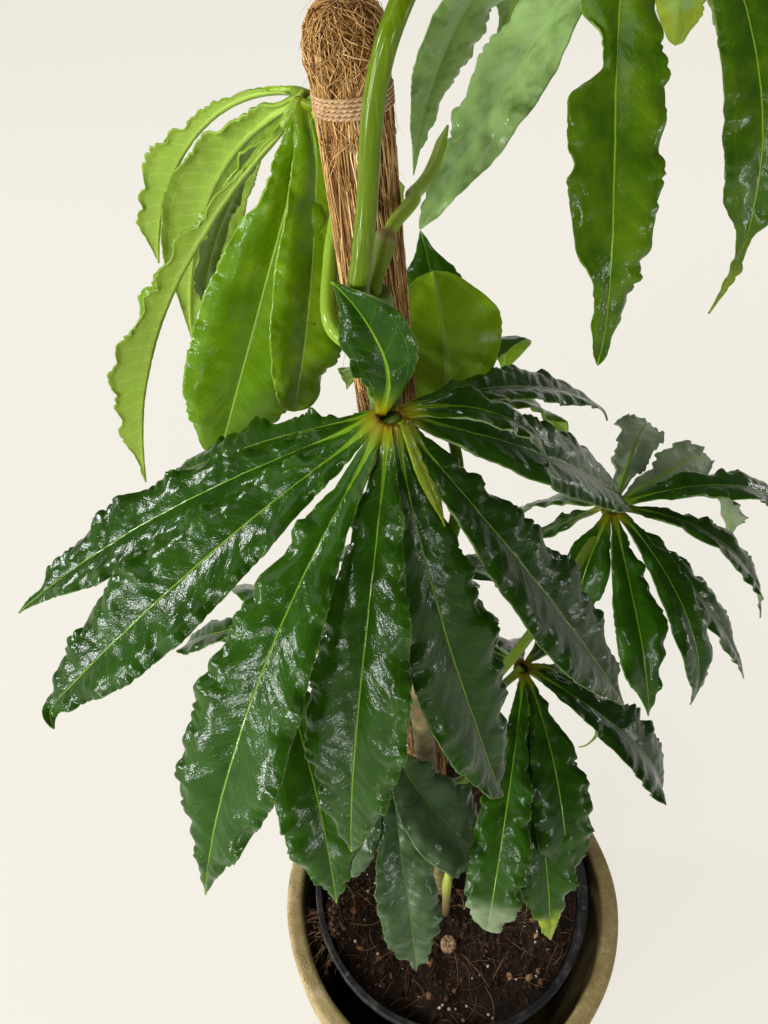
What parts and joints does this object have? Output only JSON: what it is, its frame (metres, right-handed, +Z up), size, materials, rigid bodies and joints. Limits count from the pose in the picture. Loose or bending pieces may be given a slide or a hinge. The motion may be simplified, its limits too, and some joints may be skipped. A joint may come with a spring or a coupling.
{
  "type": "potted anthurium polyschistum",
  "caption": "Climbing potted plant with glossy hand-shaped leaves cut into narrow wavy leaflets, tied to a coir pole, in a plastic growing pot inside a stoneware planter.",
  "frame": {"origin": "centre of the planter's underside", "axes": "+Z up, -Y the front, from which the picture looks, and +X to the right from there"},
  "size_m": [0.4577, 0.4405, 0.9749],
  "materials": {
    "stoneware": "matte gold-olive-brown stoneware with fine speckles and worn streaks",
    "pot_plastic": "thin black plastic with a soft shine and a grey lip",
    "potting_soil": "dark crumbly bark and coir mix with white perlite",
    "coir": "golden-brown coconut fibre, mostly lengthwise",
    "jute": "tan twisted twine",
    "stem": "olive-brown ringed stem",
    "shoot": "fresh yellow-green shoot",
    "cut_wood": "dry tan cut stem",
    "dark_leaf": "deep glossy green with a yellow-green midrib",
    "mid_green_leaf": "glossy mid green with a light midrib",
    "pale_leaf": "light yellow-green, glossy above and matte below",
    "young_leaf": "olive stalk with a brown sheath"
  },
  "bodies": {
    "root": {"coir_pole": "coir", "cut_stub": "cut_wood", "leaf_back": "dark_leaf", "leaf_centre": "dark_leaf", "leaf_folded": "pale_leaf", "leaf_left": "pale_leaf", "leaf_low_left": "dark_leaf", "leaf_low_middle": "dark_leaf", "leaf_low_right": "dark_leaf", "leaf_right": "dark_leaf", "leaf_top": "mid_green_leaf", "leaf_young": "young_leaf", "main_stem": "stem", "new_shoot": "shoot", "nursery_pot": "pot_plastic", "planter": "stoneware", "pole_twine": "jute", "soil": "potting_soil"}
  },
  "joints": []
}
